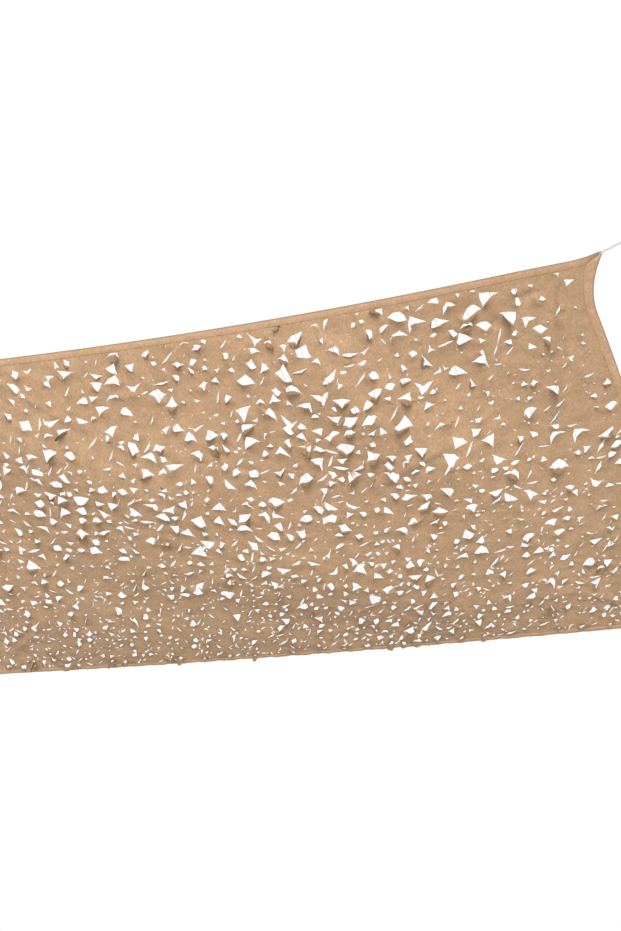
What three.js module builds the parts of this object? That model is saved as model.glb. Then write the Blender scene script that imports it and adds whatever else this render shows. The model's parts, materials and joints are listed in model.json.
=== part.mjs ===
import * as THREE from 'three';

// A shade sail of leaf-cut netting cloth, hung level by ropes at its four corners, with a folded
// binding sewn over each edge. Millimetres, +Z up, +X along the near edge, +Y away from the viewer,
// origin at the middle of the sail's own box. Places on the cloth are given on the flat panel, as
// s along the near edge and t away from the viewer, both from the panel's middle.

// Flat panel
const LENGTH = 4000;
const DEPTH = 2500;
const CLOTH = 1.5;

// Hung shape: corners drawn out into ears that flare at the long edges, slack short edges, long
// edges bowed in, sag and skew
const EAR_X = 108;
const EAR_Y = 24;
const EAR_REACH_X = 270;
const EAR_REACH_Y = 280;
const FLARE_REACH = 85;
const SHORT_EDGE_BULGE = 55;
const LONG_EDGE_BOW = 46;
const LONG_EDGE_SAG = 55;
const SHORT_EDGE_SAG = 25;
const BELLY = 120;
const SKEW = 0.075;

// Soft folds, each along a line on the flat panel; a negative height hangs towards the ground
const FOLDS = [
  { fromS: 840, fromT: -1000, toS: 1150, toT: -280, width: 200, height: -30 },
  { fromS: -800, fromT: -800, toS: -210, toT: -410, width: 210, height: -26 },
  { fromS: 290, fromT: -1150, toS: 140, toT: -800, width: 190, height: 18 },
  { fromS: 1380, fromT: -770, toS: 1700, toT: -430, width: 190, height: 18 },
  { fromS: 1880, fromT: -1180, toS: 1480, toT: -1020, width: 150, height: 10 },
  { fromS: 1870, fromT: -1130, toS: 1640, toT: -640, width: 150, height: -12 },
  { fromS: 1880, fromT: 1180, toS: 1400, toT: 780, width: 180, height: -14 },
  { fromS: -1880, fromT: 1180, toS: -1350, toT: 700, width: 180, height: -14 },
  { fromS: -1880, fromT: -1180, toS: -1300, toT: -760, width: 180, height: -14 },
  { fromS: -1250, fromT: -350, toS: -700, toT: 500, width: 230, height: 22 },
  { fromS: 250, fromT: 250, toS: 900, toT: 800, width: 220, height: -18 },
  { fromS: -300, fromT: 600, toS: 300, toT: 1000, width: 200, height: 16 },
];
const FOLD_FADE = 8;

// Binding: a tape folded over the edge, its two legs clear of the cloth between them
const HEM = 36;
const TAPE = 1.4;
const SLOT_CLEAR = 0.5;
const SLOT_FLOOR = 12;
const TUCK = 20;
const MITRE_GAP = 0.5;
const TIP_CUT_LONG = 8;
const TIP_CUT_SHORT = 14;

// Leaf cuts: rows of cuts set half a pitch apart, of which each group's largest is cut through
const CUTS_LONG = 54;
const CUTS_DEEP = 33;
const GROUP_LONG = 2;
const GROUP_DEEP = 3;
const FIELD_INSET = HEM + 1;
const CUT_SIZE = 26;
const CUT_SPREAD = 0.7;
const CUT_LEAST = 12;
const CUT_MOST = 33;
const PLAIN_CORNER = 200;

// Outlines of the cuts: reach from the middle at six even angles, as a share of the cut's size
const CUT_OUTLINES = [
  { name: 'triangle', reach: [1, 0.46, 0.92, 0.5, 0.95, 0.44] },
  { name: 'kite', reach: [1, 0.55, 0.6, 0.78, 0.6, 0.52] },
  { name: 'crescent', reach: [1, 0.74, 0.76, 1, 0.24, 0.22] },
  { name: 'hook', reach: [1, 0.36, 0.72, 0.82, 0.28, 0.56] },
];

// Stretches where the cuts are pulled wider or lie nearly shut
const SLACK = [
  { s: 970, t: -450, reach: 420, gain: 0.4 },
  { s: 1590, t: -1150, reach: 150, gain: 0.3 },
  { s: 1280, t: -880, reach: 180, gain: 0.25 },
  { s: 910, t: -820, reach: 220, gain: 0.2 },
  { s: -210, t: -970, reach: 300, gain: 0.25 },
  { s: -580, t: -620, reach: 300, gain: 0.15 },
  { s: 1780, t: -70, reach: 150, gain: 0.25 },
  { s: 205, t: -1030, reach: 200, gain: -0.35 },
  { s: 1545, t: -600, reach: 200, gain: -0.25 },
];

// Corner ropes
const ROPE = 10;
const ROPE_SIDES = 8;
const ROPE_FREE = 120;
const ROPE_STEPS = 6;
const JOIN_GAP = 0.3;
const KNOT_TURNS = 3;
const KNOT_CORE = 9;
const KNOT_SIDES = 10;
const EYE_RADIUS = 28;
const EYE_STANDOFF = 62;
const EYE_LEG = 6;
const EYE_STEPS = 18;

const tape = new THREE.Color(0.62, 0.47, 0.34);
const leafCloth = new THREE.Color(0.5, 0.34, 0.21);
const ropeWhite = new THREE.Color(0.82, 0.81, 0.78);

// Share of an ear's pull at a place, 1 at the tip and 0 past its reach
function earPull(share, half, reach) {
  const away = (1 - Math.abs(share)) * half;
  return Math.max(0, 1 - away / reach) ** 2;
}

// Height that the soft folds add at a place on the flat panel
function foldHeight(s, t) {
  const place = new THREE.Vector3(s, t, 0);
  const nearest = new THREE.Vector3();
  let height = 0;
  for (const fold of FOLDS) {
    const line = new THREE.Line3(
      new THREE.Vector3(fold.fromS, fold.fromT, 0),
      new THREE.Vector3(fold.toS, fold.toT, 0),
    );
    line.closestPointToPoint(place, true, nearest);
    height += fold.height * Math.exp(-((place.distanceTo(nearest) / fold.width) ** 2));
  }
  return height;
}

// Where a place on the flat panel hangs, raised by lift
function hung(s, t, lift) {
  const a = s / (LENGTH / 2);
  const b = t / (DEPTH / 2);
  const halfX = LENGTH / 2 - EAR_X;
  const halfY = DEPTH / 2 - EAR_Y;
  const pullT = earPull(b, halfY, EAR_REACH_Y);
  const drawn = earPull(a, halfX, EAR_REACH_X) * pullT;
  const flare = earPull(a, halfX, FLARE_REACH) * pullT;
  const acrossX = 1 - a * a;
  const acrossY = 1 - b * b;
  const outX = EAR_X * drawn + SHORT_EDGE_BULGE * Math.abs(a) ** 3 * acrossY;
  const outY = EAR_Y * flare - LONG_EDGE_BOW * Math.abs(b) ** 3 * acrossX;
  const y = b * halfY + Math.sign(b) * outY;
  const x = a * halfX + Math.sign(a) * outX + SKEW * y;
  const fade = ((1 - a ** FOLD_FADE) * (1 - b ** FOLD_FADE)) ** 2;
  const sag = LONG_EDGE_SAG * acrossX + SHORT_EDGE_SAG * acrossY + BELLY * acrossX * acrossY;
  return new THREE.Vector3(x, y, lift + fade * foldHeight(s, t) - sag);
}

// Repeatable chance between 0 and 1 for a cut in column i of row j
function chance(i, j, draw) {
  const wave = Math.sin(i * 127.1 + j * 311.7 + draw * 74.7) * 43758.5453;
  return wave - Math.floor(wave);
}

const PITCH_S = (LENGTH - 2 * FIELD_INSET) / CUTS_LONG;
const PITCH_T = (DEPTH - 2 * FIELD_INSET) / CUTS_DEEP;

// How wide the cloth's slack pulls a cut open
function slackGain(s, t) {
  let gain = 1;
  for (const spot of SLACK) {
    const away = Math.hypot(s - spot.s, t - spot.t) / spot.reach;
    gain += spot.gain * Math.exp(-away * away);
  }
  return gain;
}

// One leaf cut: its middle, its size and its outline on the flat panel, clockwise
function leafCut(i, j) {
  const shift = j % 2 === 0 ? 0.5 : 1;
  const s = FIELD_INSET - LENGTH / 2 + (i + shift) * PITCH_S;
  const t = FIELD_INSET - DEPTH / 2 + (j + 0.5) * PITCH_T;
  const spread = 1 + CUT_SPREAD * (chance(i, j, 1) - 0.5);
  const size = Math.min(CUT_MOST, CUT_SIZE * slackGain(s, t) * spread);
  const outline = CUT_OUTLINES[Math.floor(chance(i, j, 2) * CUT_OUTLINES.length)];
  const turn = chance(i, j, 3) * 2 * Math.PI;
  const points = outline.reach.map((reach, k) => {
    const angle = turn - (k * 2 * Math.PI) / outline.reach.length;
    return new THREE.Vector2(s + size * reach * Math.cos(angle), t + size * reach * Math.sin(angle));
  });
  const toTip = Math.hypot(LENGTH / 2 - Math.abs(s), DEPTH / 2 - Math.abs(t));
  return { size: toTip < PLAIN_CORNER ? 0 : size, points };
}

// The largest cut of a group, left out where none of the group's cuts opens
function largestCut(column, row) {
  let largest = { size: CUT_LEAST, points: null };
  for (let j = row * GROUP_DEEP; j < (row + 1) * GROUP_DEEP; j++) {
    const wholeCuts = j % 2 === 0 ? GROUP_LONG : GROUP_LONG - 1;
    for (let k = 0; k < wholeCuts; k++) {
      const cut = leafCut(column * GROUP_LONG + k, j);
      if (cut.size > largest.size) largest = cut;
    }
  }
  return largest.points;
}

// Lines between the groups, and the closer stations that the drawn-out ends of an edge need
function groupLines(length, cuts, group) {
  const pitch = (length - 2 * FIELD_INSET) / cuts;
  const lines = [];
  for (let k = 0; k <= cuts; k += group) lines.push(FIELD_INSET - length / 2 + k * pitch);
  return lines;
}

function edgeStations(length, cuts, group, reach) {
  const halfPitch = (length / 2 - FIELD_INSET) / cuts;
  const stations = [];
  for (let k = 0; k <= 2 * cuts; k++) {
    const place = FIELD_INSET - length / 2 + k * halfPitch;
    const toTip = length / 2 - Math.abs(place);
    const step = toTip < FLARE_REACH ? 1 : toTip < reach ? 2 : 2 * group;
    if (k % step === 0) stations.push(place);
  }
  return stations;
}

const LINES_S = groupLines(LENGTH, CUTS_LONG, GROUP_LONG);
const LINES_T = groupLines(DEPTH, CUTS_DEEP, GROUP_DEEP);
const STATIONS_S = edgeStations(LENGTH, CUTS_LONG, GROUP_LONG, EAR_REACH_X);
const STATIONS_T = edgeStations(DEPTH, CUTS_DEEP, GROUP_DEEP, EAR_REACH_Y);

function between(stations, from, to) {
  return stations.filter((place) => place > from + 1 && place < to - 1);
}

// Outline of one group, with the edge stations on the sides that border the tucked margin
function groupOutline(column, row) {
  const [s0, s1] = [LINES_S[column], LINES_S[column + 1]];
  const [t0, t1] = [LINES_T[row], LINES_T[row + 1]];
  const alongS = between(STATIONS_S, s0, s1);
  const alongT = between(STATIONS_T, t0, t1);
  const outline = [new THREE.Vector2(s0, t0)];
  if (row === 0) alongS.forEach((s) => outline.push(new THREE.Vector2(s, t0)));
  outline.push(new THREE.Vector2(s1, t0));
  if (column === LINES_S.length - 2) alongT.forEach((t) => outline.push(new THREE.Vector2(s1, t)));
  outline.push(new THREE.Vector2(s1, t1));
  alongS.reverse();
  alongT.reverse();
  if (row === LINES_T.length - 2) alongS.forEach((s) => outline.push(new THREE.Vector2(s, t1)));
  outline.push(new THREE.Vector2(s0, t1));
  if (column === 0) alongT.forEach((t) => outline.push(new THREE.Vector2(s0, t)));
  return outline;
}

// The margin that the binding covers, as one outline for each stretch between two stations
function marginOutlines() {
  const edgeS = LENGTH / 2 - TUCK;
  const edgeT = DEPTH / 2 - TUCK;
  const ringS = [-edgeS, ...STATIONS_S, edgeS];
  const ringT = [-edgeT, ...STATIONS_T, edgeT];
  const outlines = [];
  for (let i = 0; i < ringS.length - 1; i++) {
    for (let j = 0; j < ringT.length - 1; j++) {
      const border = i === 0 || j === 0 || i === ringS.length - 2 || j === ringT.length - 2;
      if (!border) continue;
      outlines.push([
        new THREE.Vector2(ringS[i], ringT[j]),
        new THREE.Vector2(ringS[i + 1], ringT[j]),
        new THREE.Vector2(ringS[i + 1], ringT[j + 1]),
        new THREE.Vector2(ringS[i], ringT[j + 1]),
      ]);
    }
  }
  const rim = [
    ...ringS.map((s) => new THREE.Vector2(s, -edgeT)),
    ...ringT.slice(1).map((t) => new THREE.Vector2(edgeS, t)),
    ...ringS.slice(0, -1).reverse().map((s) => new THREE.Vector2(s, edgeT)),
    ...ringT.slice(1, -1).reverse().map((t) => new THREE.Vector2(-edgeS, t)),
  ];
  return { outlines, rim };
}

function solidFrom(corners) {
  const geometry = new THREE.BufferGeometry();
  const numbers = corners.flatMap((corner) => corner.toArray());
  geometry.setAttribute('position', new THREE.Float32BufferAttribute(numbers, 3));
  geometry.computeVertexNormals();
  return geometry;
}

// The netting panel: upper and lower faces of each patch, and walls along its rim and its cuts
function netGeometry() {
  const corners = [];
  const upper = (p) => hung(p.x, p.y, CLOTH / 2);
  const lower = (p) => hung(p.x, p.y, -CLOTH / 2);
  const addFaces = (outline, holes) => {
    const onPlan = (p) => new THREE.Vector2(hung(p.x, p.y, 0).x, hung(p.x, p.y, 0).y);
    const plan = outline.map(onPlan);
    const holePlans = holes.map((hole) => hole.map(onPlan));
    const points = [outline, ...holes].flat();
    const placed = [plan, ...holePlans].flat();
    for (const [i, j, k] of THREE.ShapeUtils.triangulateShape(plan, holePlans)) {
      const clockwise = THREE.ShapeUtils.area([placed[i], placed[j], placed[k]]) < 0;
      const face = clockwise ? [i, k, j] : [i, j, k];
      corners.push(...face.map((n) => upper(points[n])));
      corners.push(...face.reverse().map((n) => lower(points[n])));
    }
  };
  const addWall = (loop) => loop.forEach((p, n) => {
    const q = loop[(n + 1) % loop.length];
    corners.push(lower(p), lower(q), upper(q));
    corners.push(lower(p), upper(q), upper(p));
  });
  for (let column = 0; column < LINES_S.length - 1; column++) {
    for (let row = 0; row < LINES_T.length - 1; row++) {
      const cut = largestCut(column, row);
      addFaces(groupOutline(column, row), cut ? [cut] : []);
      if (cut) addWall(cut);
    }
  }
  const margin = marginOutlines();
  margin.outlines.forEach((outline) => addFaces(outline, []));
  addWall(margin.rim);
  return solidFrom(corners);
}

// Section across a binding: distance in from the edge and height, open towards the cloth
const LEG = CLOTH / 2 + SLOT_CLEAR;
const TAPE_TOP = LEG + TAPE;
const TIP_BEND = (TIP_CUT_LONG * TIP_CUT_SHORT) / (TIP_CUT_LONG + TIP_CUT_SHORT);
const BINDING_SECTION = [
  { inset: 0, height: -LEG },
  { inset: TIP_BEND, height: -TAPE_TOP },
  { inset: HEM, height: -TAPE_TOP },
  { inset: HEM, height: -LEG },
  { inset: SLOT_FLOOR, height: -LEG },
  { inset: SLOT_FLOOR, height: LEG },
  { inset: HEM, height: LEG },
  { inset: HEM, height: TAPE_TOP },
  { inset: TIP_BEND, height: TAPE_TOP },
  { inset: 0, height: LEG },
];

// A binding runs the length of its edge, mitred at both ends and cut off at the corner's tip
function bindingGeometry(place, length, stations, ownCut, otherCut) {
  const inner = stations.filter((run) => length / 2 - Math.abs(run) > FIELD_INSET + 1);
  const rings = [];
  for (let n = 0; n < inner.length + 2; n++) {
    rings.push(BINDING_SECTION.map(({ inset, height }) => {
      const end = length / 2 - Math.max(inset, ownCut * (1 - inset / otherCut)) - MITRE_GAP / 2;
      const run = n === 0 ? -end : n > inner.length ? end : inner[n - 1];
      return place(run, inset, height);
    }));
  }
  const corners = [];
  for (let n = 0; n < rings.length - 1; n++) {
    BINDING_SECTION.forEach((_, k) => {
      const next = (k + 1) % BINDING_SECTION.length;
      corners.push(rings[n][k], rings[n][next], rings[n + 1][next]);
      corners.push(rings[n][k], rings[n + 1][next], rings[n + 1][k]);
    });
  }
  const outline = BINDING_SECTION.map(({ inset, height }) => new THREE.Vector2(inset, height));
  for (const [i, j, k] of THREE.ShapeUtils.triangulateShape(outline, [])) {
    const clockwise = THREE.ShapeUtils.area([outline[i], outline[j], outline[k]]) < 0;
    const face = clockwise ? [i, k, j] : [i, j, k];
    corners.push(...face.map((n) => rings[rings.length - 1][n]));
    corners.push(...face.reverse().map((n) => rings[0][n]));
  }
  return solidFrom(corners);
}

function bindingMeshes() {
  const alongLong = (way) => bindingGeometry(
    (run, inset, height) => hung(way * run, way * (inset - DEPTH / 2), height),
    LENGTH, STATIONS_S, TIP_CUT_LONG, TIP_CUT_SHORT,
  );
  const alongShort = (way) => bindingGeometry(
    (run, inset, height) => hung(way * (LENGTH / 2 - inset), way * run, height),
    DEPTH, STATIONS_T, TIP_CUT_SHORT, TIP_CUT_LONG,
  );
  const pieces = {
    binding_near: alongLong(1),
    binding_far: alongLong(-1),
    binding_right: alongShort(1),
    binding_left: alongShort(-1),
  };
  return Object.entries(pieces).map(([name, geometry]) => piece(name, geometry, tape, 0.9));
}

function piece(name, geometry, color, roughness) {
  const mesh = new THREE.Mesh(geometry, new THREE.MeshStandardMaterial({ color, roughness, metalness: 0 }));
  mesh.name = name;
  return mesh;
}

function ropeTube(path, steps) {
  const round = new THREE.Shape();
  for (let k = 0; k < ROPE_SIDES; k++) {
    const angle = (k * 2 * Math.PI) / ROPE_SIDES;
    const point = [(ROPE / 2) * Math.cos(angle), (ROPE / 2) * Math.sin(angle)];
    if (k === 0) round.moveTo(...point);
    else round.lineTo(...point);
  }
  round.closePath();
  return new THREE.ExtrudeGeometry(round, { steps, bevelEnabled: false, extrudePath: path });
}

// A rope's parts lie along +X from the corner's tip
const KNOT_START = JOIN_GAP + ROPE_FREE + JOIN_GAP;
const KNOT_LENGTH = KNOT_TURNS * ROPE;
const EYE_START = KNOT_START + KNOT_LENGTH + JOIN_GAP;

function ropeGeometry() {
  const path = new THREE.LineCurve3(
    new THREE.Vector3(JOIN_GAP, 0, 0),
    new THREE.Vector3(JOIN_GAP + ROPE_FREE, 0, 0),
  );
  return ropeTube(path, ROPE_STEPS);
}

// Turns of rope wound side by side round the standing rope
function knotGeometry() {
  const profile = [new THREE.Vector2(0, 0)];
  for (let turn = 0; turn < KNOT_TURNS; turn++) {
    for (const share of [0, 0.2, 0.5, 0.8]) {
      const bulge = (ROPE / 2) * Math.sin(share * Math.PI);
      profile.push(new THREE.Vector2(KNOT_CORE + bulge, (turn + share) * ROPE));
    }
  }
  profile.push(new THREE.Vector2(KNOT_CORE, KNOT_LENGTH), new THREE.Vector2(0, KNOT_LENGTH));
  const geometry = new THREE.LatheGeometry(profile, KNOT_SIDES);
  geometry.rotateZ(-Math.PI / 2);
  geometry.translate(KNOT_START, 0, 0);
  return geometry;
}

function loopGeometry() {
  const leg = (side) => [
    new THREE.Vector3(EYE_START, side * EYE_LEG, 0),
    new THREE.Vector3(EYE_START + ROPE, side * EYE_LEG, 0),
  ];
  const round = [120, 80, 40, 0, -40, -80, -120].map((degrees) => {
    const angle = THREE.MathUtils.degToRad(degrees);
    const along = EYE_START + EYE_STANDOFF + EYE_RADIUS * Math.cos(angle);
    return new THREE.Vector3(along, EYE_RADIUS * Math.sin(angle), 0);
  });
  const points = [...leg(1), ...round, ...leg(-1).reverse()];
  return ropeTube(new THREE.CatmullRomCurve3(points), EYE_STEPS);
}

// Each corner's rope leaves the tip square to the face where the two bindings are cut off
function cornerRope(name, sideS, sideT) {
  const onLong = hung(sideS * (LENGTH / 2 - TIP_CUT_LONG), (sideT * DEPTH) / 2, 0);
  const onShort = hung((sideS * LENGTH) / 2, sideT * (DEPTH / 2 - TIP_CUT_SHORT), 0);
  const face = onShort.clone().sub(onLong).multiplyScalar(sideS * -sideT);
  const corner = new THREE.Group();
  corner.position.copy(onLong).add(onShort).multiplyScalar(0.5);
  corner.rotation.z = Math.atan2(-face.x, face.y);
  corner.add(piece(`rope_${name}`, ropeGeometry(), ropeWhite, 0.8));
  corner.add(piece(`knot_${name}`, knotGeometry(), ropeWhite, 0.8));
  corner.add(piece(`loop_${name}`, loopGeometry(), ropeWhite, 0.8));
  return corner;
}

// The sail is set level with its own box's middle at the origin
const sail = new THREE.Group();
sail.add(piece('net', netGeometry(), leafCloth, 0.9), ...bindingMeshes());
const box = new THREE.Box3().setFromObject(sail, true);
sail.position.copy(box.getCenter(new THREE.Vector3())).negate();
sail.add(cornerRope('near_right', 1, -1));
sail.add(cornerRope('far_right', 1, 1));
sail.add(cornerRope('far_left', -1, 1));
sail.add(cornerRope('near_left', -1, -1));

const object = new THREE.Group();
object.add(sail);

export default object;
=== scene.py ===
import json
import math

import bpy
import numpy as np
from mathutils import Matrix, Vector
from mathutils.geometry import delaunay_2d_cdt


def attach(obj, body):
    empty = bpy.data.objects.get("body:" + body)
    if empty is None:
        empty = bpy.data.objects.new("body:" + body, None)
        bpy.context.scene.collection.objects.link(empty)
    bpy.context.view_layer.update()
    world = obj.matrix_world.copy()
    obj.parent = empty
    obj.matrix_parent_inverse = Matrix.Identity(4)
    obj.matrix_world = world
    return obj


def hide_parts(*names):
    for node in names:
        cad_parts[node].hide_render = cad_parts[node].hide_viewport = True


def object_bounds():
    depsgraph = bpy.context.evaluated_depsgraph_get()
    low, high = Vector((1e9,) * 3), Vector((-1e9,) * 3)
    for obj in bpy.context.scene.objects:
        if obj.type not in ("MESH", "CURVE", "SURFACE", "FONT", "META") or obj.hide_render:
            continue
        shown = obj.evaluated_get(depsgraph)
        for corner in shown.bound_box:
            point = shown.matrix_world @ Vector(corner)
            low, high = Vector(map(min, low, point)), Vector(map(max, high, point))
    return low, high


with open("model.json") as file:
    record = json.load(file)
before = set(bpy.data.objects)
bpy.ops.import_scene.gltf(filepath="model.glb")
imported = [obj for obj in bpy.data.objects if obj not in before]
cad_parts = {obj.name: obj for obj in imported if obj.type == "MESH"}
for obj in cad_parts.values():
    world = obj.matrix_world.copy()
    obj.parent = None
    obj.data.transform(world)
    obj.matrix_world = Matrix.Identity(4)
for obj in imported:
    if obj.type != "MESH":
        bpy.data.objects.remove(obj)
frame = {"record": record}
cad_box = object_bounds()

# Camera
# The eye stands low in front of the near edge, a little to the right of the sail's middle, and
# looks up at the underside, so the near edge runs across the top of the picture.
EYE_PLACE = (2.1929, -4.7576, -3.9578)
EYE_HEADING = math.radians(20.829)
EYE_LIFT = math.radians(40.054)
EYE_ROLL = math.radians(7.318)
PICTURE_HEIGHT_PX = 931
FOCAL_PX = 1400
FILM_HEIGHT_MM = 36
SIGHT_REACH = 60

eye_lens = bpy.data.cameras.new("eye")
eye_lens.sensor_fit = "VERTICAL"
eye_lens.sensor_height = FILM_HEIGHT_MM
eye_lens.lens = FILM_HEIGHT_MM * FOCAL_PX / PICTURE_HEIGHT_PX
eye_lens.clip_end = SIGHT_REACH
eye = bpy.data.objects.new("eye", eye_lens)
eye.matrix_world = (
    Matrix.Translation(EYE_PLACE)
    @ Matrix.Rotation(EYE_HEADING, 4, "Z")
    @ Matrix.Rotation(math.pi / 2 + EYE_LIFT, 4, "X")
    @ Matrix.Rotation(EYE_ROLL, 4, "Z")
)
bpy.context.collection.objects.link(eye)
bpy.context.scene.camera = eye

# Corner ropes
# White polyester rope of three laid strands leaves each corner's tip, pulled taut. It is tied
# off in a knot of three round turns and ends in an eye that goes over a hook.
ROPE_THICK = 0.010
ROPE_FREE = 0.120
ROPE_TUCKED = 0.012
ROPE_LAY = 0.034
ROPE_STEP = 0.0024
ROPE_POINTS = 24
STRANDS = 3
STRAND_SIDES = 8
STRAND_SHARE = 0.464
JOIN_GAP = 0.0003
KNOT_TURNS = 3
KNOT_WIND = 0.0092
KNOT_POINTS = 60
EYE_LEG = 0.006
EYE_STANDOFF = 0.062
EYE_RADIUS = 0.028
EYE_TURN_DEG = 120
EYE_TURN_STEP_DEG = 10
EYE_ROUNDINGS = 2
ROPE_WHITE = (0.54, 0.54, 0.55, 1)
ROPE_SHADE = (0.50, 0.50, 0.51, 1)

KNOT_LENGTH = KNOT_TURNS * ROPE_THICK
KNOT_START = 2 * JOIN_GAP + ROPE_FREE
EYE_START = KNOT_START + KNOT_LENGTH + JOIN_GAP


def new_finish(name, roughness):
    """A material with its node tree, and a short way to add a node with its settings."""
    material = bpy.data.materials.new(name)
    material.use_nodes = True
    tree = material.node_tree
    shader = tree.nodes["Principled BSDF"]
    shader.inputs["Roughness"].default_value = roughness

    def add(kind, inputs=(), **settings):
        node = tree.nodes.new(kind)
        for key, value in settings.items():
            setattr(node, key, value)
        for socket, value in dict(inputs).items():
            if isinstance(value, bpy.types.NodeSocket):
                tree.links.new(value, node.inputs[socket])
            else:
                node.inputs[socket].default_value = value
        return node

    def wire(output, socket):
        tree.links.new(output, shader.inputs[socket])

    return material, add, wire


def add_piece(name, points, faces, finish, smooth=True):
    """A mesh object from its points and faces, in the sail's own frame."""
    mesh = bpy.data.meshes.new(name)
    mesh.from_pydata(np.asarray(points).tolist(), [], faces)
    mesh.polygons.foreach_set("use_smooth", [smooth] * len(mesh.polygons))
    mesh.materials.append(finish)
    mesh.update()
    made = bpy.data.objects.new(name, mesh)
    bpy.context.collection.objects.link(made)
    return made


def spaced(route, step):
    """The route's points again, a step apart along it."""
    route = np.asarray(route, float)
    run = np.concatenate([[0], np.cumsum(np.linalg.norm(np.diff(route, axis=0), axis=1))])
    count = max(2, int(round(run[-1] / step)) + 1)
    at = np.linspace(0, run[-1], count)
    return np.stack([np.interp(at, run, route[:, k]) for k in range(3)], axis=1), at


def laid_rope(route):
    """Points, faces and lay of the strands that twist round a route."""
    line, run = spaced(route, ROPE_STEP)
    ahead = np.gradient(line, axis=0)
    ahead /= np.linalg.norm(ahead, axis=1)[:, None]
    side = np.cross(ahead[0], (0.0, 0.0, 1.0))
    sides = []
    for way in ahead:
        side = side - way * side.dot(way)
        side = side / np.linalg.norm(side)
        sides.append(side)
    sides = np.array(sides)
    ups = np.cross(ahead, sides)
    strand = ROPE_THICK / 2 * STRAND_SHARE
    points, faces, lay = [], [], []
    for k in range(STRANDS):
        turn = 2 * math.pi * (run / ROPE_LAY + k / STRANDS)
        core = line + (ROPE_THICK / 2 - strand) * (
            np.cos(turn)[:, None] * sides + np.sin(turn)[:, None] * ups
        )
        first = len(points)
        for n in range(len(line)):
            for m in range(STRAND_SIDES):
                around = 2 * math.pi * m / STRAND_SIDES + turn[n]
                points.append(core[n] + strand * (math.cos(around) * sides[n] + math.sin(around) * ups[n]))
                lay.append((m / STRAND_SIDES, run[n], k))
        for n in range(len(line) - 1):
            for m in range(STRAND_SIDES):
                a = first + n * STRAND_SIDES + m
                b = first + n * STRAND_SIDES + (m + 1) % STRAND_SIDES
                faces.append((a, b, b + STRAND_SIDES, a + STRAND_SIDES))
        faces.append(tuple(first + m for m in reversed(range(STRAND_SIDES))))
        last = first + (len(line) - 1) * STRAND_SIDES
        faces.append(tuple(last + m for m in range(STRAND_SIDES)))
    return points, faces, lay


rope_finish, add, wire = new_finish("white_rope", 0.75)
rope_lay = add("ShaderNodeAttribute", attribute_name="lay")
rope_yarns = add(
    "ShaderNodeMapping", {"Vector": rope_lay.outputs["Vector"], "Scale": (6, 90, 1), "Rotation": (0, 0, 0.5)}
)
rope_fibre = add(
    "ShaderNodeTexNoise", {"Vector": rope_yarns.outputs["Vector"], "Scale": 3.0, "Detail": 4.0}
)
rope_tone = add(
    "ShaderNodeMix",
    {"Factor": rope_fibre.outputs["Fac"], "A": ROPE_SHADE, "B": ROPE_WHITE},
    data_type="RGBA",
)
wire(rope_tone.outputs["Result"], "Base Color")
rope_bump = add(
    "ShaderNodeBump", {"Height": rope_fibre.outputs["Fac"], "Strength": 0.5, "Distance": 0.0006}
)
wire(rope_bump.outputs["Normal"], "Normal")


def rope_piece(name, route, node):
    points, faces, lay = laid_rope(route)
    made = add_piece(name, points, faces, rope_finish)
    held = made.data.attributes.new("lay", "FLOAT_VECTOR", "POINT")
    held.data.foreach_set("vector", np.asarray(lay, float).ravel())
    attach(made, "root")
    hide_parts(node)
    return made


def eye_route():
    """The eye's line, from one leg round and back, along and across the rope's pull."""
    bend = range(EYE_TURN_DEG, -EYE_TURN_DEG - 1, -EYE_TURN_STEP_DEG)
    round_part = [
        (EYE_STANDOFF + EYE_RADIUS * math.cos(a), EYE_RADIUS * math.sin(a)) for a in map(math.radians, bend)
    ]
    neck = [(0.0, EYE_LEG), (ROPE_THICK, EYE_LEG)]
    line = np.array([*neck, *round_part, *[(u, -v) for u, v in reversed(neck)]])
    for _ in range(EYE_ROUNDINGS):
        cut = np.concatenate([line[:-1] * 0.75 + line[1:] * 0.25, line[:-1] * 0.25 + line[1:] * 0.75], axis=1)
        line = np.concatenate([line[:1], cut.reshape(-1, 2), line[-1:]])
    return line


def knot_route():
    """Round turns side by side, the first and last tucked in along the rope."""
    share = np.linspace(0, 1, KNOT_POINTS)
    angle = 2 * math.pi * KNOT_TURNS * share
    along = ROPE_THICK / 2 + (KNOT_LENGTH - ROPE_THICK) * share
    return np.stack([along, KNOT_WIND * np.cos(angle), KNOT_WIND * np.sin(angle)], axis=1)


for mount in frame["record"]["mounts"]:
    corner = mount["name"].removeprefix("eye_")
    pull = np.array(mount["axis"])
    across = np.cross((0.0, 0.0, 1.0), pull)
    above = np.array((0.0, 0.0, 1.0))
    tip = np.array(mount["pos_m"]) - pull * (EYE_START + EYE_STANDOFF)
    rope_line = [tip + pull * u for u in np.linspace(-ROPE_TUCKED, KNOT_START, ROPE_POINTS)]
    rope = rope_piece(f"rope_strands_{corner}", rope_line, f"rope_{corner}")
    knot = rope_piece(
        f"knot_turns_{corner}",
        [tip + pull * (KNOT_START + u) + across * v + above * w for u, v, w in knot_route()],
        f"knot_{corner}",
    )
    loop = rope_piece(
        f"eye_loop_{corner}",
        [tip + pull * (EYE_START + u) + across * v for u, v in eye_route()],
        f"loop_{corner}",
    )

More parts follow.
